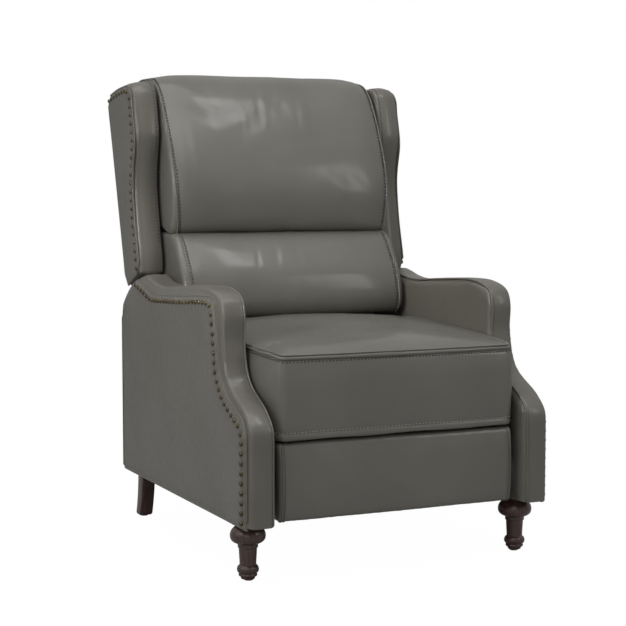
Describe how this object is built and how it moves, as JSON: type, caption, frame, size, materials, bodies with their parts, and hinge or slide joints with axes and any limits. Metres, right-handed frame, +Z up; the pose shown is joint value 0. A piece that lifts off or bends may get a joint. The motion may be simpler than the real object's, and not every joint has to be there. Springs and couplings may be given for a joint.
{
  "type": "wingback recliner",
  "caption": "Upholstered wingback push-back recliner with nailed arms and wings, turned front legs, and a footrest that opens as the back leans.",
  "frame": {"origin": "on the floor, at the middle of the chair's width and depth", "axes": "+X to the chair's right-hand side as seen from the front, +Y to the back, +Z up"},
  "size_m": [0.7, 0.8909, 1.058],
  "materials": {
    "cushion_leather": "satin",
    "panel_leather": "satin",
    "antique_brass": "satin",
    "dark_wood": "satin",
    "frame_wood": "matte",
    "plywood": "matte",
    "spring_wire": "satin",
    "glide_nickel": "satin",
    "fasteners": "satin",
    "link_steel": "satin",
    "tube_steel": "satin",
    "plate_steel": "satin"
  },
  "bodies": {
    "base": {"arm_frame_left": "frame_wood", "arm_frame_right": "frame_wood", "arm_outer_panel_left": "panel_leather", "arm_outer_panel_right": "panel_leather", "arm_inner_panel_left": "panel_leather", "arm_inner_panel_right": "panel_leather", "arm_band_left": "panel_leather", "arm_band_right": "panel_leather", "arm_nails": "antique_brass", "front_leg_left": "dark_wood", "front_leg_right": "dark_wood", "rear_leg_left": "dark_wood", "rear_leg_right": "dark_wood", "leg_glides": "glide_nickel", "leg_bolts": "fasteners", "rear_rail": "frame_wood", "rear_lower_panel": "panel_leather", "base_tube": "tube_steel", "mount_plate_left": "plate_steel", "mount_plate_right": "plate_steel", "mount_bolts": "fasteners"},
    "front_swing": {"front_swing_link_left": "link_steel", "front_swing_link_right": "link_steel"},
    "rear_swing": {"rear_swing_link_left": "link_steel", "rear_swing_link_right": "link_steel", "torque_tube": "tube_steel"},
    "carriage": {"seat_front_rail": "frame_wood", "seat_rear_rail": "frame_wood", "seat_side_rail_left": "frame_wood", "seat_side_rail_right": "frame_wood", "seat_springs": "spring_wire", "seat_cushion": "cushion_leather", "carriage_plate_left": "plate_steel", "carriage_plate_right": "plate_steel", "carriage_screws": "fasteners"},
    "lead_links": {"lead_link_left": "link_steel", "lead_link_right": "link_steel"},
    "cross_links": {"cross_link_left": "link_steel", "cross_link_right": "link_steel"},
    "upper_links": {"upper_link_left": "link_steel", "upper_link_right": "link_steel"},
    "lower_links": {"lower_link_left": "link_steel", "lower_link_right": "link_steel"},
    "footrest": {"footrest_board": "plywood", "footrest_pad": "cushion_leather", "footrest_bracket_left": "plate_steel", "footrest_bracket_right": "plate_steel"},
    "back": {"back_post_left": "frame_wood", "back_post_right": "frame_wood", "back_top_rail": "frame_wood", "back_bottom_rail": "frame_wood", "back_springs": "spring_wire", "back_bracket_left": "plate_steel", "back_bracket_right": "plate_steel", "back_cushion": "cushion_leather", "lumbar_cushion": "cushion_leather", "wing_left": "panel_leather", "wing_right": "panel_leather", "wing_nails": "antique_brass", "back_outer_panel": "panel_leather"}
  },
  "joints": [
    {"name": "back_recline", "type": "hinge", "parent": "base", "child": "back", "pos_m": [0, 0.1545, 0.33], "axis": [-1, 0, 0], "range_deg": [0, 30]},
    {"name": "front_swing_turn", "type": "hinge", "parent": "base", "child": "front_swing", "pos_m": [0, -0.3255, 0.2], "axis": [1, 0, 0], "range_deg": [0, 46]},
    {"name": "carriage_level", "type": "hinge", "parent": "front_swing", "child": "carriage", "pos_m": [0, -0.29164, 0.24334], "axis": [-1, 0, 0], "range_deg": [0, 46]},
    {"name": "rear_swing_turn", "type": "hinge", "parent": "base", "child": "rear_swing", "pos_m": [0, -0.0055, 0.2], "axis": [1, 0, 0], "range_deg": [0, 46]},
    {"name": "lead_link_turn", "type": "hinge", "parent": "carriage", "child": "lead_links", "pos_m": [0, -0.1939, 0.2406], "axis": [-1, 0, 0], "range_deg": [0, 114.42]},
    {"name": "upper_link_turn", "type": "hinge", "parent": "lead_links", "child": "upper_links", "pos_m": [0, -0.0604, 0.1469], "axis": [1, 0, 0], "range_deg": [0, 106.78]},
    {"name": "footrest_turn", "type": "hinge", "parent": "upper_links", "child": "footrest", "pos_m": [0, -0.333, 0.2629], "axis": [-1, 0, 0], "range_deg": [0, 85.42]},
    {"name": "cross_link_turn", "type": "hinge", "parent": "carriage", "child": "cross_links", "pos_m": [0, -0.1594, 0.2673], "axis": [-1, 0, 0], "range_deg": [0, 114.19]},
    {"name": "lower_link_turn", "type": "hinge", "parent": "cross_links", "child": "lower_links", "pos_m": [0, -0.033, 0.1351], "axis": [1, 0, 0], "range_deg": [0, 105.28]}
  ],
  "couplings": [
    {"joint": "front_swing_turn", "follows": "back_recline", "ratio": 1.5333},
    {"joint": "carriage_level", "follows": "back_recline", "ratio": 1.5333},
    {"joint": "rear_swing_turn", "follows": "back_recline", "ratio": 1.5333},
    {"joint": "lead_link_turn", "follows": "back_recline", "ratio": 3.814},
    {"joint": "upper_link_turn", "follows": "back_recline", "ratio": 3.5593},
    {"joint": "footrest_turn", "follows": "back_recline", "ratio": 2.8473},
    {"joint": "cross_link_turn", "follows": "back_recline", "ratio": 3.8063},
    {"joint": "lower_link_turn", "follows": "back_recline", "ratio": 3.5093}
  ]
}
